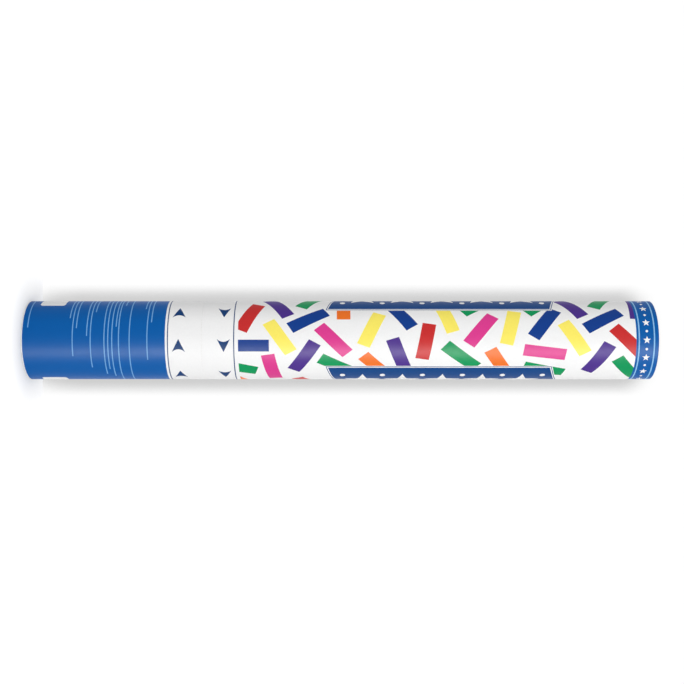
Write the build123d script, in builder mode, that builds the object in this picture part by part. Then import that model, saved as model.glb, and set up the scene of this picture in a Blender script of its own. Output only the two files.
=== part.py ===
from build123d import *
import os
from math import cos, pi, radians, sin, sqrt, tan

# A hand-held confetti popper, in millimetres, standing on its base with the muzzle up the Z axis.
# Two wound paper tubes turn against each other: the grip holds an air bottle, the barrel the paper.
# Turning the barrel makes two cam pins climb, which lifts the bottle until a fixed striker opens it.
# The air then drives the pusher, the paper slips and the lid out of the barrel.

# Paper tubes and their printed wraps
overall_length = 400.0
grip_length = 113.0
tube_bore = 47.0
tube_wall = 1.5
tube_edge_ease = 0.2
wrap_glue_line = 0.05
wrap_thickness = 0.25
wrap_set_back = 0.25

# Clearances
glue_gap = 0.1
press_gap = 0.05
running_gap = 0.3
rest_gap = 0.1
seal_gap = 0.1
seam_gap = 0.3

# Twist and lift
twist_angle = 90.0
valve_lift = 3.0
pin_count = 2
pin_diameter = 4.0
pin_drop = 44.0
pin_slot_gap = 0.3
pin_end_gap = 0.5
pin_edge_ease = 0.4

# Base plug
plug_height = 18.0
plug_wall = 1.6
plug_recess = 1.6
plug_floor = 2.4
plug_foot_width = 3.4
plug_guide_height = 10.0
plug_guide_wall = 1.4
plug_rib_count = 6
plug_rib_width = 1.4
plug_rib_height = 8.0
plug_rib_inset = 0.5
plug_lead_in = 0.8

# Drive sleeve
sleeve_length = 60.8
sleeve_wall = 1.8
sleeve_lead_in = 0.6
glue_groove_count = 3
glue_groove_width = 2.0
glue_groove_depth = 0.4
glue_groove_pitch = 12.0
glue_groove_first = 8.0

# Breech with its spigot
spigot_wall = 2.0
spigot_lip = 3.0
spigot_lead_in = 0.6
breech_cup_height = 20.0
breech_cup_wall = 2.0
breech_web = 4.0
breech_rib_height = 8.0
breech_rib_width = 1.6
breech_spoke_width = 4.0
breech_spoke_count = 4
hub_radius = 6.5
hub_drop = 4.0
window_gap = 2.0
window_reach = 8.0

# Retaining ring
ring_thickness = 1.2
ring_width = 2.8
ring_groove_depth = 1.2
ring_groove_play = 0.2
ring_opening = 9.0

# Striker
striker_diameter = 5.0
striker_reach = 1.65
striker_head_diameter = 9.0
striker_head_height = 2.0
striker_tip_ease = 0.6

# Drive collar and its seal
collar_wall = 3.0
collar_below_pin = 7.0
collar_above_pin = 13.0
collar_lead_in = 0.6
seal_above_pin = 10.0
seal_section = 1.8
seal_groove_width = 2.2

# Air bottle
bottle_wall = 1.0
bottle_base_corner = 4.0
bottle_punt_inset = 6.0
bottle_punt_depth = 3.0
bottle_shoulder_height = 8.0
bottle_shoulder_round = 4.0
bottle_neck_root_round = 1.6
neck_length = 11.0
neck_diameter = 16.8
neck_wall = 1.6
neck_bead_height = 3.0
neck_bead_width = 1.0

# Valve in the bottle's mouth
valve_flange = 1.4
valve_flange_width = 1.6
valve_bore = 7.6
valve_depth = 5.0
cup_socket_length = 3.0
cup_wall = 0.7
gasket_thickness = 0.6
ferrule_sheet = 0.5
ferrule_hole = 11.0
ferrule_round = 0.45
stem_diameter = 3.2
stem_guide_gap = 0.15
stem_guide_thickness = 1.8
stem_tip_ease = 0.5
gas_hole_count = 6
gas_hole_diameter = 1.6
poppet_head_diameter = 10.2
poppet_head_height = 2.8
poppet_boss_diameter = 5.6
poppet_boss_height = 1.2
poppet_seal_thickness = 1.0
poppet_seal_inset = 0.1

# Valve spring and its cup
spring_wire = 0.7
spring_mean_diameter = 7.4
spring_turns = 4.5
spring_length = 8.6
spans_per_turn = 4
cup_floor = 1.2
cup_drain = 4.0
cup_window_count = 4
cup_window_width = 4.5
cup_window_height = 7.0
cup_window_above_floor = 1.0

# Pusher and wad
pusher_height = 20.0
pusher_wall = 1.4
pusher_top = 1.6
pusher_rib_count = 6
pusher_rib_width = 1.2
pusher_rib_height = 6.0
pusher_edge_round = 0.6
wad_thickness = 3.0
wad_edge_ease = 0.4

# Paper slips, stacked like spokes in layers up the barrel
slip_colours = ["red", "orange", "yellow", "green", "blue", "purple", "pink"]
slip_width = 15.0
slip_length = 52.0
stack_gap = 1.0
layer_gap = 0.2
load_gap = 0.5
layer_turn_count = 3

# Muzzle lid
lid_recess = 2.0
lid_sheet = 0.8
lid_skirt = 12.0
lid_bead_radius = 15.0
lid_bead_width = 1.6
lid_bead_height = 0.6
lid_edge_round = 0.5

# Places along the tube
grip_top = grip_length - seam_gap / 2
barrel_low = grip_length + seam_gap / 2
pin_z = grip_length - pin_drop
sleeve_low = grip_top - sleeve_length
ring_top = sleeve_low - running_gap
ring_low = ring_top - ring_thickness
spigot_low = ring_low - ring_groove_play - spigot_lip
plug_floor_top = plug_recess + plug_floor
bottle_low = plug_floor_top + rest_gap
web_top = barrel_low + breech_web
breech_top = barrel_low + breech_cup_height
hub_low = barrel_low - hub_drop
striker_tip = hub_low - striker_reach
stem_tip = striker_tip - running_gap
valve_top = stem_tip - valve_lift
flange_low = valve_top - valve_flange
neck_top = flange_low - gasket_thickness - 2 * press_gap
neck_low = neck_top - neck_length
body_top = neck_low - bottle_shoulder_height
bead_low = neck_top - neck_bead_height
seat_z = neck_top - valve_depth
poppet_seal_top = seat_z - press_gap
poppet_head_top = poppet_seal_top - poppet_seal_thickness - press_gap
poppet_head_low = poppet_head_top - poppet_head_height
spring_high = poppet_head_low - rest_gap
spring_low = spring_high - spring_length
cup_floor_top = spring_low - rest_gap
cup_low = cup_floor_top - cup_floor
cup_high = seat_z + cup_socket_length
pusher_low = breech_top + rest_gap
pusher_high = pusher_low + pusher_height
wad_low = pusher_high + rest_gap
wad_high = wad_low + wad_thickness
lid_top = overall_length - lid_recess
lid_low = lid_top - lid_skirt

# Radii, from the outside inwards
bore_r = tube_bore / 2
tube_r = bore_r + tube_wall
wrap_inner_r = tube_r + wrap_glue_line
wrap_r = wrap_inner_r + wrap_thickness
glued_r = bore_r - glue_gap
sliding_r = bore_r - running_gap
sleeve_bore_r = glued_r - sleeve_wall
spigot_r = sleeve_bore_r - running_gap
spigot_bore_r = spigot_r - spigot_wall
ring_seat_r = spigot_r - ring_groove_depth
ring_inner_r = ring_seat_r + press_gap
collar_r = spigot_bore_r - running_gap
collar_bore_r = collar_r - collar_wall
bottle_r = collar_bore_r - press_gap
seal_outer_r = spigot_bore_r - seal_gap
seal_major_r = seal_outer_r - seal_section / 2
seal_seat_r = seal_outer_r - seal_section - press_gap
pin_r = pin_diameter / 2
pin_outer_r = bore_r - pin_end_gap
pin_inner_r = collar_bore_r + press_gap
pin_slot_r = pin_r + pin_slot_gap
guide_r = bottle_r + running_gap
guide_outer_r = guide_r + plug_guide_wall
plug_bore_r = glued_r - plug_wall
cup_bore_r = glued_r - breech_cup_wall
striker_r = striker_diameter / 2
striker_head_r = striker_head_diameter / 2
window_inner_r = hub_radius + window_gap
window_outer_r = window_inner_r + window_reach
neck_r = neck_diameter / 2
neck_bore_r = neck_r - neck_wall
bead_r = neck_r + neck_bead_width
valve_r = neck_bore_r - glue_gap
flange_r = valve_r + valve_flange_width
socket_r = valve_r - cup_wall - 2 * press_gap
cup_inner_r = socket_r + press_gap
cup_r = cup_inner_r + cup_wall
valve_bore_r = valve_bore / 2
stem_r = stem_diameter / 2
stem_hole_r = stem_r + stem_guide_gap
gas_hole_pitch_r = (stem_hole_r + valve_bore_r) / 2
poppet_head_r = poppet_head_diameter / 2
ferrule_inner_r = bead_r + press_gap
ferrule_r = ferrule_inner_r + ferrule_sheet
load_r = bore_r - load_gap


def ring_section(inner, outer, low, high):
    """Half section of a ring: a rectangle from inner to outer radius and from low to high."""
    with Locations((inner, low)):
        Rectangle(outer - inner, high - low, align=(Align.MIN, Align.MIN))


def corner_at(sketch, radius, height):
    """The corner of a half section that lies at this radius and height."""
    return sketch.vertices().sort_by_distance((radius, height))[0]


# Wound paper tubes
with BuildPart() as grip_tube:
    with BuildSketch():
        Circle(tube_r)
        Circle(bore_r, mode=Mode.SUBTRACT)
    extrude(amount=grip_top)
    chamfer(grip_tube.edges().filter_by(GeomType.CIRCLE), tube_edge_ease)

with BuildPart() as barrel_tube:
    with BuildSketch(Plane.XY.offset(barrel_low)):
        Circle(tube_r)
        Circle(bore_r, mode=Mode.SUBTRACT)
    extrude(amount=overall_length - barrel_low)
    chamfer(barrel_tube.edges().filter_by(GeomType.CIRCLE), tube_edge_ease)

# Printed paper wraps, glued round the tubes
with BuildPart() as grip_wrap:
    with BuildSketch(Plane.XY.offset(wrap_set_back)):
        Circle(wrap_r)
        Circle(wrap_inner_r, mode=Mode.SUBTRACT)
    extrude(amount=grip_top - wrap_set_back)

with BuildPart() as barrel_wrap:
    with BuildSketch(Plane.XY.offset(barrel_low)):
        Circle(wrap_r)
        Circle(wrap_inner_r, mode=Mode.SUBTRACT)
    extrude(amount=overall_length - wrap_set_back - barrel_low)

# Base plug: a ribbed cup that closes the grip and guides the foot of the bottle
with BuildPart() as base_plug:
    with BuildSketch(Plane.XZ):
        ring_section(0, glued_r, plug_recess, plug_floor_top)
        ring_section(glued_r - plug_foot_width, glued_r, 0, plug_floor_top)
        ring_section(plug_bore_r, glued_r, plug_floor_top, plug_height)
        ring_section(guide_r, guide_outer_r, plug_floor_top, plug_floor_top + plug_guide_height)
    revolve(axis=Axis.Z)
    chamfer(base_plug.edges().group_by(Axis.Z)[-1].sort_by(SortBy.RADIUS)[-1], plug_lead_in)
    rib_length = plug_bore_r - guide_outer_r + plug_wall
    with BuildSketch(Plane.XY.offset(plug_floor_top)):
        with PolarLocations((plug_bore_r + guide_outer_r) / 2, plug_rib_count):
            Rectangle(rib_length, plug_rib_width)
    extrude(amount=plug_rib_height)
    with BuildSketch(Plane.XY.offset(plug_recess)):
        with PolarLocations((glued_r - plug_foot_width) / 2, plug_rib_count):
            Rectangle(glued_r - plug_foot_width, plug_rib_width)
    extrude(amount=plug_rib_inset - plug_recess)

# Drive sleeve: glued in the grip, with one straight slot for each cam pin
with BuildPart() as drive_sleeve:
    with BuildSketch(Plane.XY.offset(sleeve_low)):
        Circle(glued_r)
        Circle(sleeve_bore_r, mode=Mode.SUBTRACT)
    extrude(amount=sleeve_length)
    chamfer(drive_sleeve.edges().group_by(Axis.Z)[0].sort_by(SortBy.RADIUS)[-1], sleeve_lead_in)
    with BuildSketch(Plane.XZ):
        for groove in range(glue_groove_count):
            groove_low = grip_top - glue_groove_first - groove * glue_groove_pitch
            ring_section(glued_r - glue_groove_depth, bore_r, groove_low - glue_groove_width, groove_low)
    revolve(axis=Axis.Z, mode=Mode.SUBTRACT)
    with BuildSketch(Plane.YZ):
        with Locations((0, pin_z + valve_lift / 2)):
            SlotCenterToCenter(valve_lift, 2 * pin_slot_r, rotation=90)
    extrude(amount=bore_r, both=True, mode=Mode.SUBTRACT)

# Cutter for one cam slot: it climbs by the valve lift while it runs back round the spigot
cam_r = (spigot_r + spigot_bore_r) / 2
cam_pitch = valve_lift * 360 / twist_angle
cam_cut_depth = spigot_wall + 2 * running_gap
cam_slope = valve_lift / (cam_r * radians(twist_angle))

with BuildPart() as cam_slot:
    with BuildLine(Plane.XY.offset(pin_z)) as cam_path:
        Helix(cam_pitch, valve_lift, cam_r, lefthand=True)
    cam_start = Plane(origin=(cam_r, 0, pin_z), x_dir=(1, 0, 0), z_dir=(0, -1, cam_slope))
    with BuildSketch(cam_start):
        Rectangle(cam_cut_depth, 2 * pin_slot_r)
    sweep(path=cam_path.line, is_frenet=True)
    for end_angle, end_z in ((0, pin_z), (-twist_angle, pin_z + valve_lift)):
        with Locations((0, 0, end_z)):
            with PolarLocations(cam_r, 1, start_angle=end_angle):
                Cylinder(pin_slot_r, cam_cut_depth, rotation=(0, 90, 0))

# Breech: a cup glued in the barrel, with a pierced web, a hub for the striker and the long spigot
with BuildPart() as breech:
    with BuildSketch(Plane.XZ):
        ring_section(0, glued_r, barrel_low, web_top)
        ring_section(cup_bore_r, glued_r, web_top, breech_top)
        ring_section(0, hub_radius, hub_low, barrel_low)
        ring_section(spigot_bore_r, spigot_r, spigot_low, barrel_low)
    revolve(axis=Axis.Z)
    chamfer(breech.edges().group_by(Axis.Z)[0].sort_by(SortBy.RADIUS)[-1], spigot_lead_in)
    with BuildSketch(Plane.XZ):
        ring_section(ring_seat_r, glued_r, ring_low - ring_groove_play, ring_top + ring_groove_play)
    revolve(axis=Axis.Z, mode=Mode.SUBTRACT)
    with BuildSketch(Plane.XY.offset(barrel_low)):
        Circle(window_outer_r)
        Circle(window_inner_r, mode=Mode.SUBTRACT)
        with PolarLocations(window_outer_r / 2, breech_spoke_count):
            Rectangle(window_outer_r, breech_spoke_width, mode=Mode.SUBTRACT)
    extrude(amount=breech_web, mode=Mode.SUBTRACT)
    with BuildSketch(Plane.XY.offset(web_top)):
        with PolarLocations((window_inner_r + glued_r - glue_gap) / 2, breech_spoke_count):
            Rectangle(glued_r - glue_gap - window_inner_r, breech_rib_width)
    extrude(amount=breech_rib_height)
    with BuildSketch(Plane.XY.offset(hub_low)):
        Circle(striker_r + press_gap)
    extrude(amount=web_top - hub_low, mode=Mode.SUBTRACT)
    with PolarLocations(0, pin_count):
        add(cam_slot.part, mode=Mode.SUBTRACT)

# Striker: a headed steel pin pressed through the hub
with BuildPart() as striker_pin:
    with BuildSketch(Plane.XZ):
        ring_section(0, striker_r, striker_tip, web_top)
        ring_section(0, striker_head_r, web_top, web_top + striker_head_height)
    revolve(axis=Axis.Z)
    fillet(striker_pin.edges().group_by(Axis.Z)[0], striker_tip_ease)
    chamfer(striker_pin.edges().group_by(Axis.Z)[-1], striker_tip_ease)

# Retaining ring: a split ring in the spigot's groove, just under the drive sleeve
with BuildPart() as retaining_ring:
    with BuildSketch(Plane.XY.offset(ring_low)):
        Circle(ring_inner_r + ring_width)
        Circle(ring_inner_r, mode=Mode.SUBTRACT)
        with Locations((0, spigot_r)):
            Rectangle(ring_opening, 2 * ring_width, mode=Mode.SUBTRACT)
    extrude(amount=ring_thickness)

# Air bottle: drawn shell with a domed-in base, a sloped shoulder and a beaded neck
shoulder_slope = bottle_shoulder_height / (bottle_r - neck_r)
shoulder_drop = bottle_wall * sqrt(1 + shoulder_slope**2)
inner_r = bottle_r - bottle_wall
inner_body_top = body_top + shoulder_slope * bottle_wall - shoulder_drop
inner_neck_low = body_top + shoulder_slope * (bottle_r - neck_bore_r) - shoulder_drop
inner_low = bottle_low + bottle_wall
punt_r = bottle_r - bottle_punt_inset

with BuildPart() as air_bottle:
    with BuildSketch(Plane.XZ) as bottle_section:
        with BuildLine():
            TangentArc((0, bottle_low + bottle_punt_depth), (punt_r, bottle_low), tangent=(1, 0))
            Polyline(
                (punt_r, bottle_low),
                (bottle_r, bottle_low),
                (bottle_r, body_top),
                (neck_r, neck_low),
                (neck_r, bead_low),
                (bead_r, bead_low),
                (bead_r, neck_top),
                (neck_bore_r, neck_top),
                (neck_bore_r, inner_neck_low),
                (inner_r, inner_body_top),
                (inner_r, inner_low),
                (punt_r, inner_low),
            )
            TangentArc((0, inner_low + bottle_punt_depth), (punt_r, inner_low), tangent=(1, 0))
            Line((0, bottle_low + bottle_punt_depth), (0, inner_low + bottle_punt_depth))
        make_face()
        fillet(corner_at(bottle_section, bottle_r, bottle_low), bottle_base_corner)
        fillet(corner_at(bottle_section, inner_r, inner_low), bottle_base_corner - bottle_wall)
        fillet(corner_at(bottle_section, bottle_r, body_top), bottle_shoulder_round)
        fillet(corner_at(bottle_section, inner_r, inner_body_top), bottle_shoulder_round - bottle_wall)
        fillet(corner_at(bottle_section, neck_r, neck_low), bottle_neck_root_round)
        fillet(corner_at(bottle_section, neck_bore_r, inner_neck_low), bottle_neck_root_round)
    revolve(axis=Axis.Z)

# Drive collar: pressed round the bottle, with a seal groove and a hole for each cam pin
collar_low = pin_z - collar_below_pin
collar_high = pin_z + collar_above_pin
seal_z = pin_z + seal_above_pin

with BuildPart() as drive_collar:
    with BuildSketch(Plane.XY.offset(collar_low)):
        Circle(collar_r)
        Circle(collar_bore_r, mode=Mode.SUBTRACT)
    extrude(amount=collar_high - collar_low)
    collar_rims = drive_collar.edges().filter_by(GeomType.CIRCLE).group_by(SortBy.RADIUS)[-1]
    chamfer(collar_rims, collar_lead_in)
    with BuildSketch(Plane.XZ):
        ring_section(seal_seat_r, bore_r, seal_z - seal_groove_width / 2, seal_z + seal_groove_width / 2)
    revolve(axis=Axis.Z, mode=Mode.SUBTRACT)
    with BuildSketch(Plane.YZ):
        with Locations((0, pin_z)):
            Circle(pin_r + press_gap)
    extrude(amount=bore_r, both=True, mode=Mode.SUBTRACT)

with BuildPart() as collar_seal:
    with Locations((0, 0, seal_z)):
        Torus(seal_major_r, seal_section / 2)

# Cam pins: through the sleeve's straight slots and the spigot's cam slots into the collar
with BuildPart() as cam_pins:
    with Locations((0, 0, pin_z)):
        with PolarLocations((pin_inner_r + pin_outer_r) / 2, pin_count):
            Cylinder(pin_r, pin_outer_r - pin_inner_r, rotation=(0, 90, 0))
    chamfer(cam_pins.edges().filter_by(GeomType.CIRCLE), pin_edge_ease)

# Valve body: plugs the neck, carries the seat and guides the poppet's stem
with BuildPart() as valve_body:
    with BuildSketch(Plane.XZ):
        ring_section(valve_bore_r, socket_r, seat_z, cup_high + press_gap)
        ring_section(valve_bore_r, valve_r, cup_high + press_gap, valve_top)
        ring_section(valve_bore_r, flange_r, flange_low, valve_top)
        ring_section(stem_hole_r, valve_bore_r, valve_top - stem_guide_thickness, valve_top)
    revolve(axis=Axis.Z)
    with BuildSketch(Plane.XY.offset(valve_top)):
        with PolarLocations(gas_hole_pitch_r, gas_hole_count):
            Circle(gas_hole_diameter / 2)
    extrude(amount=-stem_guide_thickness, mode=Mode.SUBTRACT)

with BuildPart() as neck_gasket:
    with BuildSketch(Plane.XY.offset(neck_top + press_gap)):
        Circle(flange_r)
        Circle(neck_bore_r, mode=Mode.SUBTRACT)
    extrude(amount=gasket_thickness)

# Crimp ferrule: a sheet cap over the flange, curled in under the neck's bead
ferrule_low = bead_low - press_gap - ferrule_sheet
ferrule_top = valve_top + press_gap + ferrule_sheet

with BuildPart() as crimp_ferrule:
    with BuildSketch(Plane.XZ):
        ring_section(ferrule_hole / 2, ferrule_r, ferrule_top - ferrule_sheet, ferrule_top)
        ring_section(ferrule_inner_r, ferrule_r, ferrule_low, ferrule_top)
        ring_section(neck_r + press_gap, ferrule_r, ferrule_low, ferrule_low + ferrule_sheet)
    revolve(axis=Axis.Z)
    fillet(crimp_ferrule.edges().group_by(Axis.Z)[-1].sort_by(SortBy.RADIUS)[-1], ferrule_round)
    fillet(crimp_ferrule.edges().group_by(Axis.Z)[0].sort_by(SortBy.RADIUS)[-1], ferrule_round)

# Spring cup: hangs under the seat, with windows that let the air in
with BuildPart() as spring_cup:
    with BuildSketch(Plane.XZ):
        ring_section(cup_inner_r, cup_r, cup_low, cup_high)
        ring_section(cup_drain / 2, cup_r, cup_low, cup_floor_top)
    revolve(axis=Axis.Z)
    window_z = cup_floor_top + cup_window_above_floor + cup_window_height / 2
    with Locations((0, 0, window_z)):
        with PolarLocations(cup_r, cup_window_count):
            Box(2 * cup_wall + cup_r / 2, cup_window_width, cup_window_height, mode=Mode.SUBTRACT)

# Poppet with its rubber seal
with BuildPart() as poppet:
    with BuildSketch(Plane.XZ):
        ring_section(0, poppet_head_r, poppet_head_low, poppet_head_top)
        ring_section(0, stem_r, poppet_head_top, stem_tip)
        ring_section(0, poppet_boss_diameter / 2, poppet_head_low - poppet_boss_height, poppet_head_low)
    revolve(axis=Axis.Z)
    fillet(poppet.edges().group_by(Axis.Z)[-1], stem_tip_ease)

with BuildPart() as poppet_seal:
    with BuildSketch(Plane.XY.offset(poppet_seal_top)):
        Circle(poppet_head_r - poppet_seal_inset)
        Circle(stem_r + press_gap, mode=Mode.SUBTRACT)
    extrude(amount=-poppet_seal_thickness)

# Valve spring: a wire helix drawn as pairs of tangent arcs, four pairs to a turn
spring_r = spring_mean_diameter / 2
wire_r = spring_wire / 2
spring_rise = (spring_length - spring_wire) / spring_turns
span_count = round(spring_turns * spans_per_turn)


def spring_point(turn):
    """Centre of the wire after this many turns."""
    angle = 2 * pi * turn
    height = spring_low + wire_r + spring_rise * turn
    return Vector(spring_r * cos(angle), spring_r * sin(angle), height)


def spring_direction(turn):
    """Way that the wire runs after this many turns."""
    angle = 2 * pi * turn
    around = 2 * pi * spring_r
    return Vector(-around * sin(angle), around * cos(angle), spring_rise).normalized()


with BuildPart() as valve_spring:
    with BuildLine() as spring_path:
        for span in range(span_count):
            turn_a = span * spring_turns / span_count
            turn_b = (span + 1) * spring_turns / span_count
            start, end = spring_point(turn_a), spring_point(turn_b)
            way_in, way_out = spring_direction(turn_a), spring_direction(turn_b)
            chord, both_ways = end - start, way_in + way_out
            bend = 2 * (1 - way_in.dot(way_out))
            along = chord.dot(both_ways)
            reach = (sqrt(along**2 + bend * chord.dot(chord)) - along) / bend
            handle_a, handle_b = start + way_in * reach, end - way_out * reach
            meeting = (handle_a + handle_b) * 0.5
            TangentArc(start, meeting, tangent=way_in)
            TangentArc(meeting, end, tangent=handle_b - handle_a)
    with BuildSketch(Plane(origin=spring_point(0), z_dir=spring_direction(0))):
        Circle(wire_r)
    sweep(path=spring_path.line)

spring_samples = 48
spring_gap = min(
    (spring_point(a / spring_samples) - spring_point(b / spring_samples)).length - spring_wire
    for a in range(int(spring_turns * spring_samples))
    for b in range(a + spring_samples // 2, int(spring_turns * spring_samples))
)
print(f"least gap between turns of the valve spring {spring_gap:.2f} mm")

# Pusher: a thin ribbed cup, open downwards, that the air drives up the barrel
with BuildPart() as pusher:
    with BuildSketch(Plane.XZ):
        ring_section(sliding_r - pusher_wall, sliding_r, pusher_low, pusher_high)
        ring_section(0, sliding_r, pusher_high - pusher_top, pusher_high)
    revolve(axis=Axis.Z)
    with BuildSketch(Plane.XY.offset(pusher_high - pusher_top)):
        with PolarLocations((sliding_r - pusher_wall) / 2, pusher_rib_count):
            Rectangle(sliding_r - pusher_wall, pusher_rib_width)
    extrude(amount=-pusher_rib_height)
    fillet(pusher.edges().group_by(Axis.Z)[-1], pusher_edge_round)

with BuildPart() as wad:
    with BuildSketch(Plane.XY.offset(wad_low)):
        Circle(sliding_r)
    extrude(amount=wad_thickness)
    chamfer(wad.edges().filter_by(GeomType.CIRCLE), wad_edge_ease)

# Muzzle lid: a plug lid with a raised bead, set just below the muzzle
with BuildPart() as muzzle_lid:
    with BuildSketch(Plane.XZ):
        ring_section(0, sliding_r, lid_top - lid_sheet, lid_top)
        ring_section(sliding_r - lid_sheet, sliding_r, lid_low, lid_top)
        ring_section(lid_bead_radius, lid_bead_radius + lid_bead_width, lid_top, lid_top + lid_bead_height)
    revolve(axis=Axis.Z)
    lid_rim = muzzle_lid.edges().filter_by(GeomType.CIRCLE).filter_by_position(Axis.Z, lid_top, lid_top)
    fillet(lid_rim.sort_by(SortBy.RADIUS)[-1], lid_edge_round)

pieces = {
    "grip_tube": grip_tube,
    "grip_wrap": grip_wrap,
    "base_plug": base_plug,
    "drive_sleeve": drive_sleeve,
    "barrel_tube": barrel_tube,
    "barrel_wrap": barrel_wrap,
    "breech": breech,
    "striker_pin": striker_pin,
    "retaining_ring": retaining_ring,
    "air_bottle": air_bottle,
    "drive_collar": drive_collar,
    "collar_seal": collar_seal,
    "cam_pins": cam_pins,
    "valve_body": valve_body,
    "neck_gasket": neck_gasket,
    "crimp_ferrule": crimp_ferrule,
    "spring_cup": spring_cup,
    "valve_spring": valve_spring,
    "poppet": poppet,
    "poppet_seal": poppet_seal,
    "pusher": pusher,
    "wad": wad,
    "muzzle_lid": muzzle_lid,
}

# Paper slips: one stack of each colour in each layer, as deep as its neighbours leave room for
stack_count = len(slip_colours)
half_step = pi / stack_count
spread = tan(half_step)
side_gap = stack_gap / (2 * cos(half_step))
width_term = slip_width - spread * side_gap
room_term = load_r**2 - slip_width**2 - side_gap**2
stack_inner_r = (sqrt(width_term**2 + (1 + spread**2) * room_term) - width_term) / (1 + spread**2)
stack_depth = 2 * (stack_inner_r * spread - side_gap)
stack_r = stack_inner_r + slip_width / 2
layer_height = slip_length + layer_gap
layer_count = int((lid_low - wad_high) // layer_height)

for place, colour in enumerate(slip_colours):
    with BuildPart() as slips:
        for layer in range(layer_count):
            stack_angle = (place + layer * layer_turn_count) * 360 / stack_count
            with Locations((0, 0, wad_high + rest_gap + layer * layer_height)):
                with PolarLocations(stack_r, 1, start_angle=stack_angle):
                    Box(slip_width, stack_depth, slip_length, align=(Align.CENTER, Align.CENTER, Align.MIN))
    pieces[f"confetti_{colour}"] = slips

os.makedirs("parts", exist_ok=True)
for name, piece in pieces.items():
    piece.part.label = name
    export_step(piece.part, f"parts/{name}.step")
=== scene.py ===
"""Looks of the confetti popper: printed paper wraps, board tubes, mouldings, valve and paper slips."""

from math import cos, pi, radians, sin

import bpy
import numpy as np
from mathutils import Matrix, Vector
from mathutils.geometry import delaunay_2d_cdt


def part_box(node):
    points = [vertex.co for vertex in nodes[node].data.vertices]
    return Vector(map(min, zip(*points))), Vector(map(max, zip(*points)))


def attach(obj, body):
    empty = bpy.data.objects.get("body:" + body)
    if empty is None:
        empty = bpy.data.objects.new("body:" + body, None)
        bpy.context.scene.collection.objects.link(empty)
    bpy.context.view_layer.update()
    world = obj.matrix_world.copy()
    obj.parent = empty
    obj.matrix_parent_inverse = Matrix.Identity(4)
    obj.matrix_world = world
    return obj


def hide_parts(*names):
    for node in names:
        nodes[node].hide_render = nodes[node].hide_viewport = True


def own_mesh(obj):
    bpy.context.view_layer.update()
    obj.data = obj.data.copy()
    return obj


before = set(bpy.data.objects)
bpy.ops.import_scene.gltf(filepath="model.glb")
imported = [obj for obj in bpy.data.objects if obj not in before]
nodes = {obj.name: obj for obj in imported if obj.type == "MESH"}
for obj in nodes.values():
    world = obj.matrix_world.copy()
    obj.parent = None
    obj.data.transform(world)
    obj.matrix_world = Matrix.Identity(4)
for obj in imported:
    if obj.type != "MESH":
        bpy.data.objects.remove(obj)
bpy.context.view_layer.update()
scene = bpy.context.scene
scene.view_settings.view_transform = "Standard"

# Flat sizes are in millimetres: along the tube from its base, and around it from the middle of the front
MM = 0.001

# Paper wraps: sizes from the frame, then glue, lap and how finely the sheet is cut
wrap_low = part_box("grip_wrap")[0].z / MM
wrap_seam = (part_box("grip_wrap")[1].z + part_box("barrel_wrap")[0].z) / 2 / MM
wrap_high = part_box("barrel_wrap")[1].z / MM
wrap_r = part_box("barrel_wrap")[1].x / MM
board_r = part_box("barrel_tube")[1].x / MM
glue_line = 0.05
paper_inner_r = board_r + glue_line
paper_thickness = wrap_r - paper_inner_r
seam_opening = 0.06
liner_ply = 0.2
half_turn = pi * wrap_r
lap_width = 7.0
lap_climb = 4.0
lap_glue = 0.01
sheet_strips = 120
cut_tolerance = 1e-5

# Flat map of a wrap: shares of its height for the printed side and for the inner side
printed_share = 0.9
inner_share = 0.06

# Printed layout along the tube
panel_low = 0.7
panel_high = 90.2
lower_keyline = 91.85
upper_keyline = 133.35
keyline_width = 0.65
lower_arrows = 98.6
upper_arrows = 126.9
slips_low = 136.0
rim_low = 385.6
rim_lines = (387.4, 396.9)
rim_line_width = 0.8
rim_row = 392.2
print_bleed = 1.0

# Arrows round the twist joint
arrow_count = 7
arrow_length = 8.2
arrow_width = 8.2
arrow_hollow = 1.7
arrow_base_points = 7
lower_arrow_tip = -0.7
upper_arrow_tip = 7.6

# Printed slips
slip_print_length = 24.8
slip_print_width = 8.0
print_stretch = np.array([0.94, 1.08])
back_slips_shift = 4.0

# Banners, one on each side of the front
banner_middle = 38.1
banner_half_width = 18.85
banner_low = 192.3
banner_high = 332.8
banner_point = 5.4
banner_halo = 1.55
banner_line_outer = 1.1
banner_line_inner = 0.6
banner_star_count = 5
banner_star_pitch = 25.5
banner_star_radius = 12.4
banner_dot_radius = 1.7
banner_dot_offset = 10.8

# Small figures of the rim band, and the shape of every star and dot
rim_star_count = 14
rim_star_radius = 2.5
rim_dot_radius = 0.8
star_points = 5
star_waist = 0.42
dot_sides = 20

# Bare plate and ruled lines of the grip panel
plate_around = (30.9, 52.9)
plate_along = (8.8, 24.8)
plate_corner = 1.8
plate_corner_points = 6
rule_width = 0.65
rule_start = -40.0

# Loose paper slips in the barrel
slip_colours = ("red", "orange", "yellow", "green", "blue", "purple", "pink")
slip_width = 15.0
slip_length = 52.0
slip_layer_step = 52.2
slip_stack_depth = 6.38
slips_in_stack = 22
slip_fill = 0.72
slip_rows = 9
slip_bow = 0.06
slip_waves = (0.6, 1.4)
slip_tilt = 0.003
slip_shift = (-0.3, 0.15)
slip_slack = 0.8
layer_margin = 0.001

# Valve spring, and the share of its length that is left when the valve is open
spring_wire = 0.7
spring_turns = 4.5
spring_steps = 109
spring_sides = 10


def linear(red, green, blue):
    """Shader colour of a screen colour in 0 to 255: a straight foot, then a power curve."""
    share = np.array([red, green, blue]) / 255
    return np.where(share <= 0.04045, share / 12.92, ((share + 0.055) / 1.055) ** 2.4)


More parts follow.
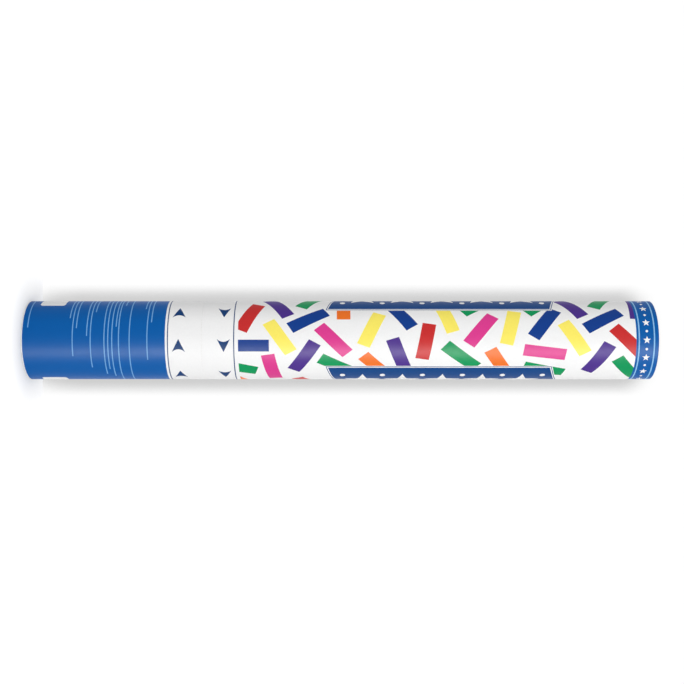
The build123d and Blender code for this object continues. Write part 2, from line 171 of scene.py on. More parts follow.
inks = {
    "white": linear(243, 243, 243),
    "panel blue": linear(0, 90, 166),
    "banner blue": linear(8, 68, 132),
    "navy": linear(12, 58, 112),
    "pale blue": linear(140, 192, 232),
    "rule blue": linear(112, 166, 218),
    "red": linear(200, 46, 46),
    "orange": linear(240, 116, 38),
    "yellow": linear(253, 236, 104),
    "green": linear(0, 150, 88),
    "blue": linear(14, 60, 139),
    "purple": linear(76, 47, 138),
    "pink": linear(220, 60, 143),
}
ink_names = list(inks)
ink_colours = np.array([inks[name] for name in ink_names])

# Printed slips that come once, and those of the front half that the back half repeats: along the tube,
# around it, turn in degrees, and ink
single_slips = (
    (139.3, 41.4, 60, "orange"),
    (179.0, 42.0, 60, "red"),
    (181.6, -34.2, -61, "green"),
    (346.3, -25.9, 60, "purple"),
    (347.0, 49.9, 84, "purple"),
)
repeated_slips = (
    (143.0, -16.7, 114, "red"),
    (160.6, -26.1, 60, "purple"),
    (179.9, -13.7, -31, "blue"),
    (162.0, -2.1, 58, "yellow"),
    (142.0, 3.5, 0, "blue"),
    (156.8, 20.8, 80, "pink"),
    (134.3, 19.0, 16, "green"),
    (177.3, 11.4, 121, "purple"),
    (195.7, -0.1, 48, "pink"),
    (202.2, -25.3, 90, "orange"),
    (219.8, -7.3, 113, "yellow"),
    (198.9, 17.7, 30, "green"),
    (223.5, 18.6, 48, "orange"),
    (237.2, 10.2, 71, "purple"),
    (237.8, -17.8, 56, "blue"),
    (253.8, 0.9, 100, "red"),
    (266.8, -16.2, 72, "yellow"),
    (288.2, -25.8, -36, "green"),
    (288.5, -6.9, 126, "pink"),
    (276.0, 10.8, 41, "green"),
    (300.9, 16.2, 60, "orange"),
    (307.2, -8.7, 103, "yellow"),
    (315.2, -27.2, 50, "green"),
    (328.7, -11.6, 124, "blue"),
    (328.5, 7.8, 8, "pink"),
    (328.8, 20.9, 15, "green"),
    (347.1, -1.5, 59, "yellow"),
    (367.3, -33.8, -61, "green"),
    (365.4, -13.5, -32, "blue"),
    (387.5, -25.6, 93, "purple"),
    (380.7, 0.5, 48, "red"),
    (362.6, 12.6, 120, "purple"),
    (382.3, 21.5, 54, "green"),
)

# Ruled lines of the grip panel: along, and where each ends around
ruled_lines = (
    (4.0, -8.1),
    (30.0, -14.6),
    (32.2, 10.4),
    (34.6, -7.6),
    (41.2, -2.6),
    (43.5, 18.9),
    (45.8, -19.6),
    (52.1, 25.4),
    (54.5, 20.4),
    (57.0, 28.4),
    (59.5, -8.6),
    (61.2, 36.5),
    (63.8, -26.6),
    (67.9, 36.5),
    (77.0, -22.6),
    (79.0, 12.9),
    (81.5, -11.6),
)


# Outlines of printed figures: rows of (around, along), anticlockwise

def band(low, high, start=-2 * half_turn, end=2 * half_turn):
    """Straight band: the rectangle from low to high along the tube and from start to end around it."""
    return np.array([(start, low), (end, low), (end, high), (start, high)])


def slip_figure(along, around, turn):
    """Printed slip: a turned rectangle, squeezed a little around the tube and stretched along it."""
    signs = np.array([(-1, -1), (1, -1), (1, 1), (-1, 1)])
    corners = signs * np.array([slip_print_length, slip_print_width]) / 2
    angle = radians(turn)
    along_part = corners[:, 0] * cos(angle) - corners[:, 1] * sin(angle)
    around_part = corners[:, 0] * sin(angle) + corners[:, 1] * cos(angle)
    return np.column_stack([around_part, along_part])[::-1] * print_stretch + (around, along)


def round_figure(around, along, radii):
    """Star or dot: points at even angles round a middle, with a radius given for each."""
    angle = np.arange(len(radii)) * 2 * pi / len(radii)
    return np.column_stack([around - radii * np.cos(angle), along - radii * np.sin(angle)])


def star_figure(around, along, radius):
    """Star: a round figure whose radius changes in turn between the tips and the waist."""
    return round_figure(around, along, radius * np.tile([1.0, star_waist], star_points))


def dot_figure(around, along, radius):
    """Dot: a round figure of one radius."""
    return round_figure(around, along, np.full(dot_sides, radius))


def arrow_figure(tip, along, way):
    """Arrow: a triangle with a hollowed base, whose tip points one way or the other around the tube."""
    hollow = np.linspace(-1, 1, arrow_base_points)
    base_around = tip - way * (arrow_length - arrow_hollow * (1 - hollow**2))
    base = np.column_stack([base_around, along + hollow * arrow_width / 2])
    outline = np.concatenate([base, [(tip, along)]])
    return outline if way < 0 else outline[::-1]


def banner_figure(middle, grow):
    """Banner: a strip notched at its base end and pointed at its muzzle end, grown by an even margin."""
    half = banner_half_width + grow
    slope = banner_point / banner_half_width
    shift = grow * (1 + slope**2) ** 0.5
    across = np.array([-half, 0, half])
    lean = slope * (banner_half_width - np.abs(across))
    low = np.column_stack([middle + across, banner_low + lean - shift])
    high = np.column_stack([middle + across, banner_high + lean + shift])
    return np.concatenate([low, high[::-1]])


def plate_figure(offset):
    """Plate: a rectangle with quarter circles at its corners."""
    quarter = np.linspace(0, pi / 2, plate_corner_points)
    start, end = np.array(plate_around) + offset
    low, high = plate_along
    middles = ((end, high), (start, high), (start, low), (end, low))
    insets = ((-1, -1), (1, -1), (1, 1), (-1, 1))
    corners = []
    for place, (middle, inset) in enumerate(zip(middles, insets)):
        angle = quarter + place * pi / 2
        ring = plate_corner * np.column_stack([np.cos(angle), np.sin(angle)])
        corners.append(np.array(middle) + plate_corner * np.array(inset) + ring)
    return np.concatenate(corners)


half_turns = half_turn * np.array([-1, 0, 1])
slip_turns = half_turns + back_slips_shift * np.array([1, 0, 1])


def grip_artwork():
    """Printing of the grip, from the lowest layer to the highest."""
    figures = [("panel blue", band(panel_low, panel_high))]
    for offset in half_turns:
        for along, end in ruled_lines:
            low, high = along - rule_width / 2, along + rule_width / 2
            figures.append(("rule blue", band(low, high, rule_start + offset, end + offset)))
        figures.append(("white", plate_figure(offset)))
    figures.append(("navy", band(lower_keyline - keyline_width / 2, lower_keyline + keyline_width / 2)))
    for place in range(-arrow_count, arrow_count + 1):
        tip = lower_arrow_tip + place * 2 * half_turn / arrow_count
        figures.append(("navy", arrow_figure(tip, lower_arrows, -1)))
    return figures


def barrel_artwork():
    """Printing of the barrel, from the lowest layer to the highest."""
    figures = [(ink, slip_figure(along, around, turn)) for along, around, turn, ink in single_slips]
    for along, around, turn, ink in repeated_slips:
        figures += [(ink, slip_figure(along, around + offset, turn)) for offset in slip_turns]
    figures.append(("white", band(0, slips_low)))
    figures.append(("navy", band(upper_keyline - keyline_width / 2, upper_keyline + keyline_width / 2)))
    for place in range(-arrow_count, arrow_count + 1):
        tip = upper_arrow_tip + place * 2 * half_turn / arrow_count
        figures.append(("navy", arrow_figure(tip, upper_arrows, 1)))
    for offset in half_turns:
        figures += banner_artwork(banner_middle + offset)
    figures.append(("panel blue", band(rim_low, wrap_high + print_bleed)))
    for line in rim_lines:
        figures.append(("pale blue", band(line - rim_line_width / 2, line + rim_line_width / 2)))
    rim_pitch = 2 * half_turn / rim_star_count
    for place in range(-rim_star_count, rim_star_count):
        figures.append(("white", star_figure(place * rim_pitch, rim_row, rim_star_radius)))
        figures.append(("white", dot_figure((place + 0.5) * rim_pitch, rim_row, rim_dot_radius)))
    return figures


def banner_artwork(middle):
    """One banner: white margin, outline, white gap, blue field, a row of stars and dots between them."""
    figures = [
        ("white", banner_figure(middle, banner_halo)),
        ("banner blue", banner_figure(middle, banner_line_outer)),
        ("white", banner_figure(middle, banner_line_inner)),
        ("banner blue", banner_figure(middle, 0)),
    ]
    row_middle = (banner_low + banner_high) / 2 + banner_point / 2
    for place in range(banner_star_count):
        along = row_middle + (place - (banner_star_count - 1) / 2) * banner_star_pitch
        figures.append(("white", star_figure(middle, along, banner_star_radius)))
    for place in range(banner_star_count + 1):
        along = row_middle + (place - banner_star_count / 2) * banner_star_pitch
        for side in (-1, 1):
            around = middle + side * banner_dot_offset
            figures.append(("white", dot_figure(around, along, banner_dot_radius)))
    return figures


def add_piece(name, points, faces, material, body):
    """New mesh object at the origin, riding on a body, from points in metres and lists of corners."""
    mesh = bpy.data.meshes.new(name)
    mesh.from_pydata(np.asarray(points).tolist(), [], [list(face) for face in faces])
    mesh.materials.append(material)
    piece = bpy.data.objects.new(name, mesh)
    scene.collection.objects.link(piece)
    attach(piece, body)
    return piece


def rolled(flat, height):
    """Points and outward directions of the rolled sheet, in millimetres.

    The way around becomes an angle from the front, and the radius is the paper's inner radius plus the
    height in the paper. As it ends a full turn the sheet climbs by its own thickness, on a smooth S curve,
    so that its end laps over its start. The outward direction leans back by the slope of that climb."""
    around, along = flat[:, 0], flat[:, 1]
    angle = around / wrap_r
    climb = np.clip((around - half_turn + lap_climb) / lap_climb, 0, 1)
    rise = paper_thickness + lap_glue
    radius = paper_inner_r + height + rise * climb**2 * (3 - 2 * climb)
    slope = rise * 6 * climb * (1 - climb) / lap_climb
    out = np.column_stack([np.sin(angle), -np.cos(angle), 0 * angle])
    side = np.column_stack([np.cos(angle), np.sin(angle), 0 * angle])
    points = out * radius[:, None] + np.column_stack([0 * angle, 0 * angle, along])
    normals = out - side * slope[:, None]
    return points, normals / np.linalg.norm(normals, axis=1)[:, None]


def cut_sheet(low, high, figures):
    """Flat sheet cut into triangles along every printed edge and along lines up the tube.

    Each triangle lies inside some of the figures and takes the ink of the highest of them."""
    ways = np.linspace(-half_turn, half_turn + lap_width, sheet_strips + 1)
    edge_low = np.column_stack([ways, np.full(ways.size, low)])
    edge_high = np.column_stack([ways[::-1], np.full(ways.size, high)])
    outlines = [np.concatenate([edge_low, edge_high])] + [outline for ink, outline in figures]
    lines = [(place, 2 * sheet_strips + 1 - place) for place in range(1, sheet_strips)]
    ends = np.cumsum([len(outline) for outline in outlines])
    loops = [list(range(end - len(outline), end)) for end, outline in zip(ends, outlines)]
    corners = np.concatenate(outlines).tolist()
    cut = delaunay_2d_cdt(corners, lines, loops, 0, cut_tolerance, True)
    flat, triangles, owners = np.array(cut[0]), np.array(cut[2]), cut[5]
    top = np.array([max(owner) if 0 in owner else -1 for owner in owners])
    layer_inks = np.array([ink_names.index(ink) for ink in ["white"] + [ink for ink, outline in figures]])
    used, triangles = np.unique(triangles[top >= 0], return_inverse=True)
    return flat[used], triangles.reshape(-1, 3), layer_inks[top[top >= 0]]


def printed_wrap(name, low, high, figures, body, replaced):
    """Printed paper wrap: the cut sheet rolled twice, outside and inside, and closed round its edges.

    An edge that belongs to one triangle only is on the sheet's border, and gets a face across the paper.
    The flat map lays the printed side over most of the square and the inner side along its foot."""
    flat, triangles, ink = cut_sheet(low, high, figures)
    outside, normals = rolled(flat, paper_thickness)
    inside = rolled(flat, 0)[0]
    count = len(flat)
    edges = triangles[:, [[0, 1], [1, 2], [2, 0]]].reshape(-1, 2)
    border = edges[~np.isin(edges[:, 0] * count + edges[:, 1], edges[:, 1] * count + edges[:, 0])]
    rim = np.column_stack([border[:, 1], border[:, 0], border[:, 0] + count, border[:, 1] + count])
    faces = triangles.tolist() + (triangles[:, ::-1] + count).tolist() + rim.tolist()
    wrap = add_piece(name, np.concatenate([outside, inside]) * MM, faces, printed_paper, body)

    rim_out = np.cross(outside[border[:, 1]] - outside[border[:, 0]], normals[border[:, 0]])
    rim_out /= np.linalg.norm(rim_out, axis=1)[:, None]
    corner_normals = np.concatenate([
        normals[triangles.ravel()],
        -normals[triangles[:, ::-1].ravel()],
        np.repeat(rim_out, 4, axis=0),
    ])
    wrap.data.normals_split_custom_set(corner_normals.tolist())

    white = ink_names.index("white")
    unprinted = np.full(triangles.size + rim.size, white)
    corner_ink = np.concatenate([np.repeat(ink, 3), unprinted])
    colours = np.column_stack([ink_colours[corner_ink], np.ones(corner_ink.size)])
    layer = wrap.data.color_attributes.new("ink", "FLOAT_COLOR", "CORNER")
    layer.data.foreach_set("color", colours.ravel())

    share = (flat - flat.min(axis=0)) / np.ptp(flat, axis=0)
    printed_map = share * (1, printed_share) + (0, 1 - printed_share)
    inner_map = share * (1, inner_share)
    corner_map = np.concatenate([
        printed_map[triangles.ravel()],
        inner_map[triangles[:, ::-1].ravel()],
        np.concatenate([printed_map, printed_map])[rim.ravel()],
    ])
    wrap.data.uv_layers.new(name="OFBake").uv.foreach_set("vector", corner_map.ravel())
    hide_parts(replaced)


def loose_slips(colour, material):
    """Stacks of loose paper slips of one colour, one stack in place of each block.

    Each slip is a thin closed strip: across runs out from the axis, along runs up the tube, and the side
    steps from slip to slip. Every slip is shifted, turned and bowed a little, by a sine along its length."""
    draws = np.random.default_rng(slip_colours.index(colour))
    block = nodes[f"confetti_{colour}"].data
    corners = np.empty(len(block.vertices) * 3, np.float32)
    block.vertices.foreach_get("co", corners)
    corners = corners.reshape(-1, 3) / MM
    low = corners[:, 2].min()
    layer = ((corners[:, 2] - low) / slip_layer_step + layer_margin).astype(int)
    layers = layer.max() + 1
    middles = np.array([corners[layer == place].mean(axis=0) for place in range(layers)])
    angle = np.arctan2(middles[:, 1], middles[:, 0]).reshape(-1, 1, 1, 1, 1)
    reach = np.hypot(middles[:, 0], middles[:, 1]).reshape(-1, 1, 1, 1, 1)
    foot = (low + np.arange(layers) * slip_layer_step).reshape(-1, 1, 1, 1, 1)

    shape = (layers, slips_in_stack, 1, 1, 1)
    slip = np.arange(slips_in_stack).reshape(1, -1, 1, 1, 1)
    face = np.array([-0.5, 0.5]).reshape(1, 1, 2, 1, 1)
    along = np.linspace(0, 1, slip_rows).reshape(1, 1, 1, -1, 1)
    across = np.array([-0.5, 0.5]).reshape(1, 1, 1, 1, 2)
    pitch = slip_stack_depth / slips_in_stack
    waves = along * draws.uniform(*slip_waves, shape) + draws.uniform(0, 1, shape)
    bow = slip_bow * np.sin(2 * pi * waves)
    turn = draws.normal(0, slip_tilt, shape)
    side = (slip + 0.5 + face * slip_fill) * pitch - slip_stack_depth / 2 + bow
    shift = draws.uniform(*slip_shift, shape)
    out = reach + across * slip_width + shift - turn * (along - 0.5) * slip_length
    rise = draws.uniform(0, slip_slack, shape)
    up = foot + along * (slip_length - slip_slack) + rise + turn * across * slip_width
    side, out, up = np.broadcast_arrays(side, out, up + 0 * side)
    points = np.stack([
        out * np.cos(angle) - side * np.sin(angle),
        out * np.sin(angle) + side * np.cos(angle),
        up,
    ], axis=-1).reshape(-1, 3)

    # Points of a slip, two to a row: all rows of its back, and then all rows of its front
    step = np.arange(slip_rows - 1).reshape(-1, 1) * 2
    front = 2 * slip_rows
    faces = np.concatenate([
        step + [0, 1, 3, 2],
        front + step + [0, 2, 3, 1],
        step + [0, 2, front + 2, front],
        step + [1, front + 1, front + 3, 3],
        [[0, front, front + 1, 1]],
        [[front - 2, front - 1, 2 * front - 1, 2 * front - 2]],
    ])
    starts = np.arange(layers * slips_in_stack).reshape(-1, 1, 1) * 2 * front
    faces = (starts + faces).reshape(-1, 4)
    stack = add_piece(f"slips_{colour}", points * MM, faces, material, "load")
    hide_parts(f"confetti_{colour}")


def valve_coil(material):
    """Valve spring: a round wire carried along a helix, closed by a flat face at each end.

    The helix turns evenly as it climbs, and stays half a wire inside the spring's foot and head. Round each
    of its points the wire is a ring of points in the plane of the outward way and the way square to both
    that and the run of the wire."""
    low, high = (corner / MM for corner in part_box("valve_spring"))
    coil_r = high.x - spring_wire / 2
    climb = high.z - low.z - spring_wire
    share = np.linspace(0, 1, spring_steps).reshape(-1, 1)
    angle = 2 * pi * spring_turns * share
    level = 0 * angle
    out = np.hstack([np.cos(angle), np.sin(angle), level])
    run = np.hstack([-np.sin(angle), np.cos(angle), level + climb / (2 * pi * spring_turns * coil_r)])
    run /= np.linalg.norm(run, axis=1)[:, None]
    square = np.cross(out, run)
    middle = out * coil_r + np.hstack([level, level, low.z + spring_wire / 2 + climb * share])
    ring = (np.arange(spring_sides) * 2 * pi / spring_sides).reshape(1, -1, 1)
    wire = out[:, None] * np.cos(ring) + square[:, None] * np.sin(ring)
    points = (middle[:, None] + wire * spring_wire / 2).reshape(-1, 3)

    step = np.arange(spring_steps - 1).reshape(-1, 1) * spring_sides
    here = np.arange(spring_sides)
    after = (here + 1) % spring_sides
    sides = np.stack([
        step + here,
        step + spring_sides + here,
        step + spring_sides + after,
        step + after,
    ], axis=-1)
    ends = [here.tolist(), (len(points) - 1 - here).tolist()]
    faces = sides.reshape(-1, 4).tolist() + ends
    coil = add_piece("valve_coil", points * MM, faces, material, "bottle")
    coil.data.polygons.foreach_set("use_smooth", np.arange(len(coil.data.polygons)) < sides[..., 0].size)
    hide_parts("valve_spring")
    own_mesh(coil)


# Places of the mix node's sockets for colours: its share, its two colours and its result
mix_share = 0
mix_first = 6
mix_second = 7
mix_result = 2


class Finish:
    """A material being made: its shader, and short ways to add and join nodes."""

    def __init__(self, name, **settings):
        """Each setting is named like a socket of the shader, with underscores, and goes into it."""
        self.material = bpy.data.materials.new(name)
        self.material.use_nodes = True
        self.tree = self.material.node_tree
        self.shader = self.tree.nodes["Principled BSDF"]
        self.place = self.add("ShaderNodeTexCoord").outputs["Object"]
        for socket, value in settings.items():
            self.set(socket.replace("_", " ").title().replace("Ior", "IOR"), value)

    def add(self, kind, **settings):
        """New node of a kind, with its settings."""
        node = self.tree.nodes.new(kind)
        for key, value in settings.items():
            setattr(node, key, value)
        return node

    def join(self, source, socket):
        """Link from an output to a socket."""
        self.tree.links.new(source, socket)

    def feed(self, socket, value):
        """An output is joined to the socket, a number goes into it, and a colour goes in as opaque."""
        if isinstance(value, bpy.types.NodeSocket):
            self.join(value, socket)
        else:
            socket.default_value = value if np.isscalar(value) else (*value, 1)

    def set(self, socket, value):
        """Feeds one of the shader's own sockets."""
        self.feed(self.shader.inputs[socket], value)

    def surface(self, shader):
        """Takes another shader in place of the first one."""
        self.join(shader, self.tree.nodes["Material Output"].inputs["Surface"])
        self.tree.nodes.remove(self.shader)

    def noise(self, per_metre, detail, stretch=(1, 1, 1), roughness=0.5):
        """Cloudy value from 0 to 1, with so many features to the metre, stretched along the axes."""
        mapping = self.add("ShaderNodeMapping")
        self.join(self.place, mapping.inputs["Vector"])
        mapping.inputs["Scale"].default_value = stretch
        noise = self.add("ShaderNodeTexNoise")
        self.join(mapping.outputs["Vector"], noise.inputs["Vector"])
        noise.inputs["Scale"].default_value = per_metre
        noise.inputs["Detail"].default_value = detail
        noise.inputs["Roughness"].default_value = roughness
        return noise.outputs["Fac"]

    def span(self, value, low, high, start=0.0, end=1.0):
        """The value moved from the range start to end into the range low to high."""
        node = self.add("ShaderNodeMapRange")
        self.join(value, node.inputs["Value"])
        for socket, number in (("From Min", start), ("From Max", end), ("To Min", low), ("To Max", high)):
            node.inputs[socket].default_value = number
        return node.outputs["Result"]

    def uneven(self, cloud, low, high):
        """A cloudy value moved into the range low to high, from the range that most of it lies in."""
        return self.span(cloud, low, high, *cloud_range)

    def maths(self, operation, first, second=0.0):
        """Result of an operation on two values, each an output or a number."""
        node = self.add("ShaderNodeMath", operation=operation)
        for socket, value in zip(node.inputs, (first, second)):
            self.feed(socket, value)
        return node.outputs["Value"]

    def mix(self, first, second, share, blend="MIX"):
        """Colour between first and second, or first times second, by a share."""
        node = self.add("ShaderNodeMix", data_type="RGBA", blend_type=blend)
        self.feed(node.inputs[mix_first], first)
        self.feed(node.inputs[mix_second], second)
        self.feed(node.inputs[mix_share], share)
        return node.outputs[mix_result]

    def radius(self):
        """Distance from the tube's axis, in metres."""
        parts = self.add("ShaderNodeSeparateXYZ")
        self.join(self.place, parts.inputs["Vector"])
        square_x = self.maths("POWER", parts.outputs["X"], 2.0)
        square_y = self.maths("POWER", parts.outputs["Y"], 2.0)
        return self.maths("SQRT", self.maths("ADD", square_x, square_y))

    def seen(self):
        """1 where the eye sees the surface straight, in a gloss or through glass, and else 0."""
        path = self.add("ShaderNodeLightPath").outputs
        eye = self.maths("MAXIMUM", path["Is Camera Ray"], path["Is Glossy Ray"])
        return self.maths("MAXIMUM", eye, path["Is Transmission Ray"])

    def bump(self, height, distance, strength, under=None):
        """Fine relief: height from 0 to 1 stands for so many metres, over the relief under it."""
        node = self.add("ShaderNodeBump")
        self.join(height, node.inputs["Height"])
        node.inputs["Distance"].default_value = distance
        node.inputs["Strength"].default_value = strength
        if under is not None:
            self.join(under, node.inputs["Normal"])
        self.set("Normal", node.outputs["Normal"])
        return node.outputs["Normal"]


# Finishes: what most of a cloudy value lies between, then shades, colours and gloss
cloud_range = (0.3, 0.7)
paper_mottle = (0.985, 1.012)
ink_roughness = (0.39, 0.45)
bare_levels = (0.3, 0.8)
bare_roughness = 0.14
ply_lean = radians(38)
plies_per_sheet = 2.0
board_dark = linear(150, 128, 100)
board_pale = linear(186, 166, 138)
board_joint = linear(120, 98, 74)
board_fleck = linear(98, 80, 62)
board_liner = linear(232, 231, 227)
joint_share = 0.4
joint_level = 0.5
fleck_share = 0.5
fleck_levels = (0.62, 0.75)
board_ply = 0.00019
liner_blend = 0.00002
flow_shades = (0.9, 1.06)
moulding_spread = (-0.06, 0.1)
drawing_shade = 0.85
drawing_spread = (-0.08, 0.12)
rubber_black = linear(24, 24, 25)
rubber_bloom = linear(44, 44, 45)
rubber_roughness = (0.6, 0.85)
felt_dark = linear(150, 146, 138)
felt_pale = linear(196, 192, 184)
felt_clump = linear(128, 122, 114)
clump_share = 0.5
clump_levels = (0.45, 0.75)
dye_shades = (0.82, 1.08)


def make_printed_paper():
    """Satin coated paper: ink from the sheet's own colours, a light mottle, fibres and the plies under it.

    Ink shines more than bare paper, and it is bare where the least of its three colours is high."""
    finish = Finish("printed_paper", specular_ior_level=0.09)
    ink = finish.add("ShaderNodeAttribute", attribute_name="ink").outputs["Color"]
    mottle = finish.uneven(finish.noise(per_metre=900, detail=4.0), *paper_mottle)
    finish.set("Base Color", finish.mix(ink, mottle, 1.0, "MULTIPLY"))
    parts = finish.add("ShaderNodeSeparateColor")
    finish.join(ink, parts.inputs["Color"])
    bare = finish.maths("MINIMUM", parts.outputs["Red"], parts.outputs["Blue"])
    bare = finish.maths("MINIMUM", bare, parts.outputs["Green"])
    gloss = finish.uneven(finish.noise(per_metre=350, detail=3.0), *ink_roughness)
    finish.set("Roughness", finish.maths("ADD", gloss, finish.span(bare, 0.0, bare_roughness, *bare_levels)))
    sheet = finish.add("ShaderNodeUVMap", uv_map="OFBake").outputs["UV"]
    ply = finish.add("ShaderNodeMapping")
    finish.join(sheet, ply.inputs["Vector"])
    ply.inputs["Rotation"].default_value = (0, 0, ply_lean)
    ply.inputs["Scale"].default_value = (plies_per_sheet, plies_per_sheet, 1.0)
    wave = finish.add("ShaderNodeTexWave")
    finish.join(ply.outputs["Vector"], wave.inputs["Vector"])
    wave.inputs["Scale"].default_value = 1.0
    plies = finish.bump(wave.outputs["Fac"], distance=0.00002, strength=0.3)
    finish.bump(finish.noise(per_metre=2600, detail=5.0), distance=0.00001, strength=0.2, under=plies)
    return finish.material


def make_wound_board():
    """Wound grey-brown board with a white outer ply: rings on the cut ends, long fibres and flecks."""
    finish = Finish("wound_board", roughness=0.85, specular_ior_level=0.25)
    fibres = finish.noise(per_metre=900, detail=6.0, stretch=(1, 1, 0.35), roughness=0.65)
    flecks = finish.noise(per_metre=2400, detail=2.0)
    radius = finish.radius()
    ring = finish.span(finish.maths("PINGPONG", radius, board_ply), 0.0, 1.0, end=board_ply)
    board = finish.mix(board_dark, board_pale, fibres)
    board = finish.mix(board, board_joint, finish.span(ring, joint_share, 0.0, end=joint_level))
    board = finish.mix(board, board_fleck, finish.span(flecks, 0.0, fleck_share, *fleck_levels))
    liner_r = (board_r - liner_ply) * MM
    liner = finish.span(radius, 0.0, 1.0, start=liner_r, end=liner_r + liner_blend)
    finish.set("Base Color", finish.mix(board, board_liner, liner))
    relief = finish.bump(ring, distance=0.00008, strength=0.5)
    finish.bump(fibres, distance=0.00008, strength=0.6, under=relief)
    return finish.material


def make_moulding(name, colour, roughness, specular):
    """Moulded plastic: fine spark texture, slightly uneven gloss and faint flow shades."""
    finish = Finish(name, specular_ior_level=specular)
    flow = finish.noise(per_metre=60, detail=3.0, stretch=(1, 1, 0.4))
    finish.set("Base Color", finish.mix(colour * flow_shades[0], colour * flow_shades[1], flow))
    low, high = (roughness + change for change in moulding_spread)
    finish.set("Roughness", finish.uneven(finish.noise(per_metre=500, detail=4.0), low, high))
    finish.bump(finish.noise(per_metre=3500, detail=2.0), distance=0.00003, strength=0.4)
    return finish.material


def make_metal(name, colour, roughness, stretch):
    """Drawn metal: fine lines along the drawing, from noise stretched that way, in gloss and in relief."""
    finish = Finish(name, metallic=1.0)
    lines = finish.noise(per_metre=1500, detail=4.0, stretch=stretch, roughness=0.6)
    finish.set("Base Color", finish.mix(np.array(colour) * drawing_shade, colour, lines))
    low, high = (roughness + change for change in drawing_spread)
    finish.set("Roughness", finish.uneven(lines, low, high))
    finish.bump(lines, distance=0.00001, strength=0.35)
    return finish.material


def make_seal_rubber():
    """Black rubber: dull, with a dusty bloom."""
    finish = Finish("seal_rubber", specular_ior_level=0.35)
    bloom = finish.noise(per_metre=800, detail=4.0)
    finish.set("Base Color", finish.mix(rubber_black, rubber_bloom, bloom))
    finish.set("Roughness", finish.uneven(bloom, *rubber_roughness))
    finish.bump(finish.noise(per_metre=4000, detail=2.0), distance=0.00002, strength=0.4)
    return finish.material


def make_wad_felt():
    """Pressed felt: mixed fibres in several greys, with deep fuzz."""
    finish = Finish("wad_felt", roughness=0.95, specular_ior_level=0.15, sheen_weight=0.4)
    fibres = finish.noise(per_metre=1800, detail=6.0, stretch=(1, 0.4, 1), roughness=0.7)
    clumps = finish.span(finish.noise(per_metre=260, detail=3.0), 0.0, clump_share, *clump_levels)
    felt = finish.mix(felt_dark, felt_pale, fibres)
    finish.set("Base Color", finish.mix(felt, felt_clump, clumps))
    finish.bump(fibres, distance=0.0003, strength=0.8)
    return finish.material


def make_slip_paper(colour):
    """Dyed tissue paper: dull, with cloudy dye and fibres along the slip."""
    finish = Finish(f"slips_{colour}", roughness=0.75, specular_ior_level=0.25)
    dark, pale = (np.minimum(inks[colour] * shade, 1) for shade in dye_shades)
    finish.set("Base Color", finish.mix(dark, pale, finish.noise(per_metre=300, detail=4.0)))
    fibres = finish.noise(per_metre=2200, detail=5.0, stretch=(1, 1, 0.4))
    finish.bump(fibres, distance=0.00004, strength=0.5)
    return finish.material


printed_paper = make_printed_paper()
wound_board = make_wound_board()
plug_plastic = make_moulding("plug_plastic", linear(228, 229, 231), roughness=0.42, specular=0.45)
mechanism_plastic = make_moulding("mechanism_plastic", linear(52, 53, 56), roughness=0.45, specular=0.45)
pusher_plastic = make_moulding("pusher_plastic", linear(226, 227, 226), roughness=0.5, specular=0.4)
lid_plastic = make_moulding("lid_plastic", linear(232, 233, 235), roughness=0.3, specular=0.5)
valve_plastic = make_moulding("valve_plastic", linear(234, 233, 226), roughness=0.35, specular=0.5)
bottle_aluminium = make_metal("bottle_aluminium", (0.77, 0.78, 0.79), roughness=0.32, stretch=(1, 1, 0.03))
spring_steel = make_metal("steel", (0.56, 0.57, 0.58), roughness=0.28, stretch=(0.1, 0.1, 1))
seal_rubber = make_seal_rubber()
wad_felt = make_wad_felt()

node_finishes = {
    wound_board: ("grip_tube", "barrel_tube"),
    plug_plastic: ("base_plug",),
    mechanism_plastic: ("drive_sleeve", "breech", "drive_collar"),
    pusher_plastic: ("pusher",),
    lid_plastic: ("muzzle_lid",),
    valve_plastic: ("valve_body", "spring_cup", "poppet"),
    bottle_aluminium: ("air_bottle", "crimp_ferrule"),
    spring_steel: ("striker_pin", "retaining_ring", "cam_pins"),
    seal_rubber: ("collar_seal", "neck_gasket", "poppet_seal"),
    wad_felt: ("wad",),
}
for material, names in node_finishes.items():
    for name in names:
        nodes[name].data.materials.clear()
        nodes[name].data.materials.append(material)

grip_edge = wrap_seam - seam_opening / 2
barrel_edge = wrap_seam + seam_opening / 2
printed_wrap("grip_paper", wrap_low, grip_edge, grip_artwork(), "grip", "grip_wrap")
printed_wrap(
    "barrel_paper", barrel_edge, wrap_high, barrel_artwork(), "barrel", "barrel_wrap",
)
for colour in slip_colours:
    loose_slips(colour, make_slip_paper(colour))
valve_coil(spring_steel)


# Stage, in metres: a pale floor, and a white sheet just behind the tube that shows from the front only
stage_reach = 4.0
backdrop_gap = 0.0005
behind = (wrap_r + paper_thickness) * MM + backdrop_gap
sweep_reach = 0.03
floor_white = (0.6, 0.6, 0.6)
floor_glow = 0.6

# Painted shade near the tube, in the glow of floor and sheet: its reach, then the share of open view and the
# level, at the darkest and when clear
painted_shade_samples = 16
floor_painted_shade_reach = 0.028
floor_shade = (0.5, 0.42)
floor_clear = (1.0, 1.0)
backdrop_painted_shade_reach = 0.021
backdrop_shade = (0.7, 0.625)
backdrop_clear = (0.955, 1.01)


